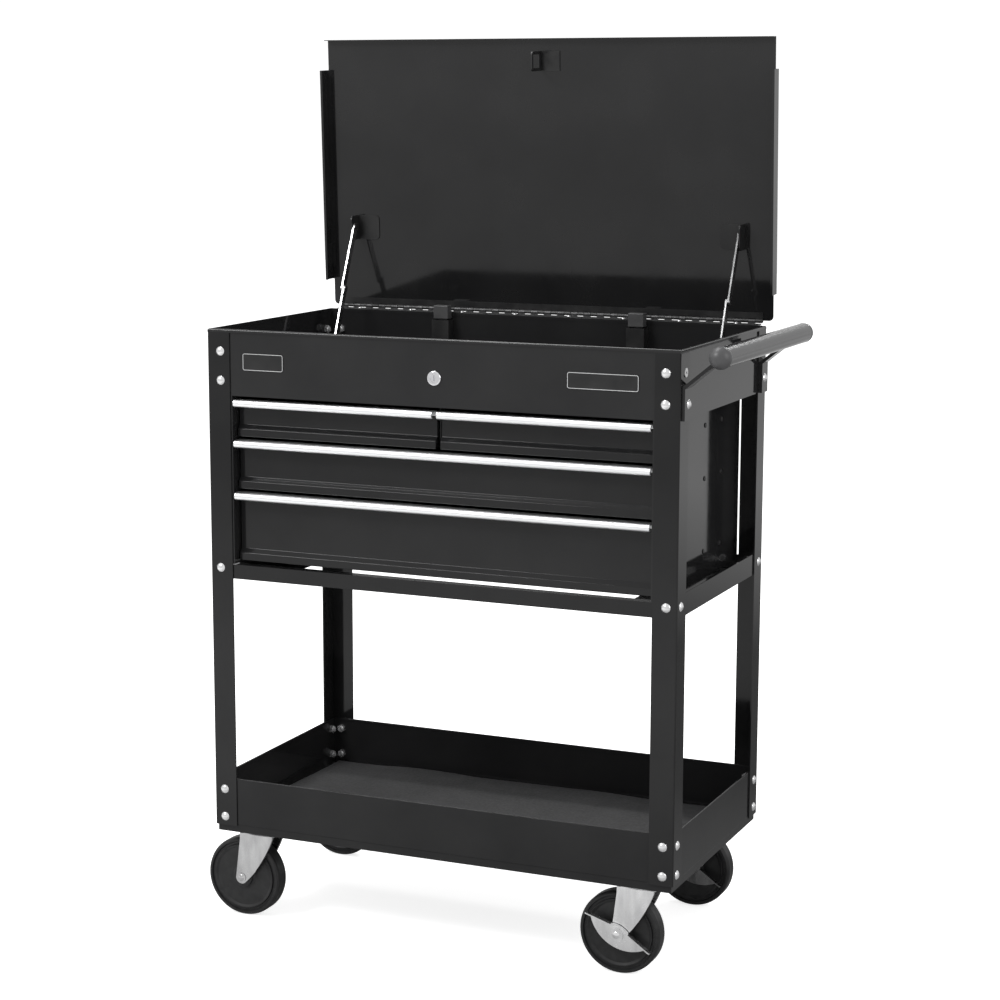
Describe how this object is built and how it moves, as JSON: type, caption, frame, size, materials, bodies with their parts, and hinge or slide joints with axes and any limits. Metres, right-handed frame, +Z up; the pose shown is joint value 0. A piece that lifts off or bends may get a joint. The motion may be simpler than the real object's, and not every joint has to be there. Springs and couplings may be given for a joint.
{
  "type": "rolling tool chest",
  "caption": "Steel rolling tool chest: lidded top tray with folding stays, roller drawers with full-width pulls, open lower shelf, side push bar and swivel casters.",
  "frame": {"origin": "on the floor, under the centre of the bounding box with the lid open", "axes": "+Z up, -Y towards the drawer fronts, +X towards the push bar"},
  "size_m": [0.8654, 0.4461, 1.3768],
  "materials": {
    "black_paint": "gloss black powder coat",
    "pull_aluminium": "satin anodised extrusion",
    "zinc_steel": "bright zinc plated pressed steel",
    "lock_chrome": "polished chrome",
    "bar_grey": "satin dark grey coat",
    "hinge_steel": "black coated hinge, bright where it rubs",
    "rod_grey": "grey moulded cap on a painted rod",
    "wheel_plastic": "hard dark grey moulded wheel",
    "cap_plastic": "dark moulded ball cap",
    "mat_rubber": "matt dark grey liner"
  },
  "bodies": {
    "chest": {"bolts_and_nuts": "zinc_steel", "cabinet_back": "black_paint", "cabinet_sides": "black_paint", "caster_plates": "zinc_steel", "cross_rails": "black_paint", "drawer_divider": "black_paint", "hinge_frame_leaf": "hinge_steel", "hinge_rivets": "zinc_steel", "legs_front": "black_paint", "legs_rear": "black_paint", "lock_barrel": "lock_chrome", "lock_rod_guides": "black_paint", "lower_tray": "black_paint", "lower_tray_mat": "mat_rubber", "push_bar": "bar_grey", "push_bar_brackets": "black_paint", "push_bar_caps": "cap_plastic", "side_rails": "black_paint", "slide_outers": "zinc_steel", "slide_rivets": "zinc_steel", "stay_foot_brackets": "black_paint", "top_tray": "black_paint"},
    "lid": {"lid_panel": "black_paint", "hinge_lid_leaf": "hinge_steel", "lid_striker": "black_paint", "stay_lid_brackets": "black_paint"},
    "stay_left_upper_link": {"stay_left_upper": "zinc_steel"},
    "stay_left_lower_link": {"stay_left_lower": "zinc_steel"},
    "lock_rod_left_body": {"lock_rod_left": "rod_grey"},
    "stay_right_upper_link": {"stay_right_upper": "zinc_steel"},
    "stay_right_lower_link": {"stay_right_lower": "zinc_steel"},
    "lock_rod_right_body": {"lock_rod_right": "rod_grey"},
    "drawer_small_left": {"drawer_small_left_pan": "black_paint", "drawer_small_left_pull": "pull_aluminium", "drawer_small_left_slide_inners": "zinc_steel"},
    "drawer_small_left_slide": {"drawer_small_left_slide_middles": "zinc_steel"},
    "drawer_small_right": {"drawer_small_right_pan": "black_paint", "drawer_small_right_pull": "pull_aluminium", "drawer_small_right_slide_inners": "zinc_steel"},
    "drawer_small_right_slide": {"drawer_small_right_slide_middles": "zinc_steel"},
    "drawer_middle": {"drawer_middle_pan": "black_paint", "drawer_middle_pull": "pull_aluminium", "drawer_middle_slide_inners": "zinc_steel"},
    "drawer_middle_slide": {"drawer_middle_slide_middles": "zinc_steel"},
    "drawer_deep": {"drawer_deep_pan": "black_paint", "drawer_deep_pull": "pull_aluminium", "drawer_deep_slide_inners": "zinc_steel"},
    "drawer_deep_slide": {"drawer_deep_slide_middles": "zinc_steel"},
    "lock_plug": {"lock_plug_and_cam": "lock_chrome"},
    "caster_front_left_swivel": {"caster_front_left_fork_and_axle": "zinc_steel"},
    "caster_front_left_roller": {"caster_front_left_wheel": "wheel_plastic"},
    "caster_front_right_swivel": {"caster_front_right_fork_and_axle": "zinc_steel"},
    "caster_front_right_roller": {"caster_front_right_wheel": "wheel_plastic"},
    "caster_front_right_brake_lever": {"caster_front_right_brake": "zinc_steel"},
    "caster_rear_left_swivel": {"caster_rear_left_fork_and_axle": "zinc_steel"},
    "caster_rear_left_roller": {"caster_rear_left_wheel": "wheel_plastic"},
    "caster_rear_right_swivel": {"caster_rear_right_fork_and_axle": "zinc_steel"},
    "caster_rear_right_roller": {"caster_rear_right_wheel": "wheel_plastic"},
    "caster_rear_right_brake_lever": {"caster_rear_right_brake": "zinc_steel"}
  },
  "joints": [
    {"name": "lid_hinge", "type": "hinge", "parent": "chest", "child": "lid", "pos_m": [-0.02325, 0.21841, 0.94], "axis": [1, 0, 0], "range_deg": [0, 87.6]},
    {"name": "stay_left_lower_pivot", "type": "hinge", "parent": "chest", "child": "stay_left_lower_link", "pos_m": [-0.35625, 0.10641, 0.857], "axis": [1, 0, 0], "range_deg": [0, 99.16]},
    {"name": "stay_left_upper_pivot", "type": "hinge", "parent": "lid", "child": "stay_left_upper_link", "pos_m": [-0.35625, 0.19841, 1.072], "axis": [1, 0, 0], "range_deg": [-131.89, 0]},
    {"name": "lock_rod_left_travel", "type": "slide", "parent": "chest", "child": "lock_rod_left_body", "axis": [0, 0, -1], "range_m": [0, 0.01]},
    {"name": "stay_right_lower_pivot", "type": "hinge", "parent": "chest", "child": "stay_right_lower_link", "pos_m": [0.30975, 0.10641, 0.857], "axis": [1, 0, 0], "range_deg": [0, 99.16]},
    {"name": "stay_right_upper_pivot", "type": "hinge", "parent": "lid", "child": "stay_right_upper_link", "pos_m": [0.30975, 0.19841, 1.072], "axis": [1, 0, 0], "range_deg": [-131.89, 0]},
    {"name": "lock_rod_right_travel", "type": "slide", "parent": "chest", "child": "lock_rod_right_body", "axis": [0, 0, -1], "range_m": [0, 0.01]},
    {"name": "drawer_small_left_travel", "type": "slide", "parent": "chest", "child": "drawer_small_left", "axis": [0, -1, 0], "range_m": [0, 0.33]},
    {"name": "drawer_small_left_slide_travel", "type": "slide", "parent": "chest", "child": "drawer_small_left_slide", "axis": [0, -1, 0], "range_m": [0, 0.166]},
    {"name": "drawer_small_right_travel", "type": "slide", "parent": "chest", "child": "drawer_small_right", "axis": [0, -1, 0], "range_m": [0, 0.33]},
    {"name": "drawer_small_right_slide_travel", "type": "slide", "parent": "chest", "child": "drawer_small_right_slide", "axis": [0, -1, 0], "range_m": [0, 0.166]},
    {"name": "drawer_middle_travel", "type": "slide", "parent": "chest", "child": "drawer_middle", "axis": [0, -1, 0], "range_m": [0, 0.33]},
    {"name": "drawer_middle_slide_travel", "type": "slide", "parent": "chest", "child": "drawer_middle_slide", "axis": [0, -1, 0], "range_m": [0, 0.166]},
    {"name": "drawer_deep_travel", "type": "slide", "parent": "chest", "child": "drawer_deep", "axis": [0, -1, 0], "range_m": [0, 0.33]},
    {"name": "drawer_deep_slide_travel", "type": "slide", "parent": "chest", "child": "drawer_deep_slide", "axis": [0, -1, 0], "range_m": [0, 0.166]},
    {"name": "lock_turn", "type": "hinge", "parent": "chest", "child": "lock_plug", "pos_m": [-0.02325, -0.20459, 0.8775], "axis": [0, -1, 0], "range_deg": [0, 90]},
    {"name": "caster_front_left_swivel_turn", "type": "hinge", "parent": "chest", "child": "caster_front_left_swivel", "pos_m": [-0.34125, -0.16959, 0.14], "axis": [0, 0, 1], "continuous": true},
    {"name": "caster_front_left_wheel_turn", "type": "hinge", "parent": "caster_front_left_swivel", "child": "caster_front_left_roller", "pos_m": [-0.36925, -0.16959, 0.0635], "axis": [0, 1, 0], "continuous": true},
    {"name": "caster_front_right_swivel_turn", "type": "hinge", "parent": "chest", "child": "caster_front_right_swivel", "pos_m": [0.29475, -0.16959, 0.14], "axis": [0, 0, 1], "continuous": true},
    {"name": "caster_front_right_wheel_turn", "type": "hinge", "parent": "caster_front_right_swivel", "child": "caster_front_right_roller", "pos_m": [0.26675, -0.16959, 0.0635], "axis": [0, 1, 0], "continuous": true},
    {"name": "caster_front_right_brake_press", "type": "hinge", "parent": "caster_front_right_swivel", "child": "caster_front_right_brake_lever", "pos_m": [0.26675, -0.16959, 0.0635], "axis": [0, -1, 0], "range_deg": [0, 22]},
    {"name": "caster_rear_left_swivel_turn", "type": "hinge", "parent": "chest", "child": "caster_rear_left_swivel", "pos_m": [-0.34125, 0.16041, 0.14], "axis": [0, 0, 1], "continuous": true},
    {"name": "caster_rear_left_wheel_turn", "type": "hinge", "parent": "caster_rear_left_swivel", "child": "caster_rear_left_roller", "pos_m": [-0.36925, 0.16041, 0.0635], "axis": [0, 1, 0], "continuous": true},
    {"name": "caster_rear_right_swivel_turn", "type": "hinge", "parent": "chest", "child": "caster_rear_right_swivel", "pos_m": [0.29475, 0.16041, 0.14], "axis": [0, 0, 1], "continuous": true},
    {"name": "caster_rear_right_wheel_turn", "type": "hinge", "parent": "caster_rear_right_swivel", "child": "caster_rear_right_roller", "pos_m": [0.26675, 0.16041, 0.0635], "axis": [0, 1, 0], "continuous": true},
    {"name": "caster_rear_right_brake_press", "type": "hinge", "parent": "caster_rear_right_swivel", "child": "caster_rear_right_brake_lever", "pos_m": [0.26675, 0.16041, 0.0635], "axis": [0, -1, 0], "range_deg": [0, 22]}
  ],
  "couplings": [
    {"joint": "stay_left_lower_pivot", "follows": "lid_hinge", "ratio": 1.1286},
    {"joint": "stay_left_upper_pivot", "follows": "lid_hinge", "ratio": -1.5022},
    {"joint": "lock_rod_left_travel", "follows": "lid_hinge", "m_per_rad": 0.0065},
    {"joint": "stay_right_lower_pivot", "follows": "lid_hinge", "ratio": 1.1286},
    {"joint": "stay_right_upper_pivot", "follows": "lid_hinge", "ratio": -1.5022},
    {"joint": "lock_rod_right_travel", "follows": "lid_hinge", "m_per_rad": 0.0065},
    {"joint": "drawer_small_left_slide_travel", "follows": "drawer_small_left_travel", "ratio": 0.5},
    {"joint": "drawer_small_right_slide_travel", "follows": "drawer_small_right_travel", "ratio": 0.5},
    {"joint": "drawer_middle_slide_travel", "follows": "drawer_middle_travel", "ratio": 0.5},
    {"joint": "drawer_deep_slide_travel", "follows": "drawer_deep_travel", "ratio": 0.5}
  ]
}
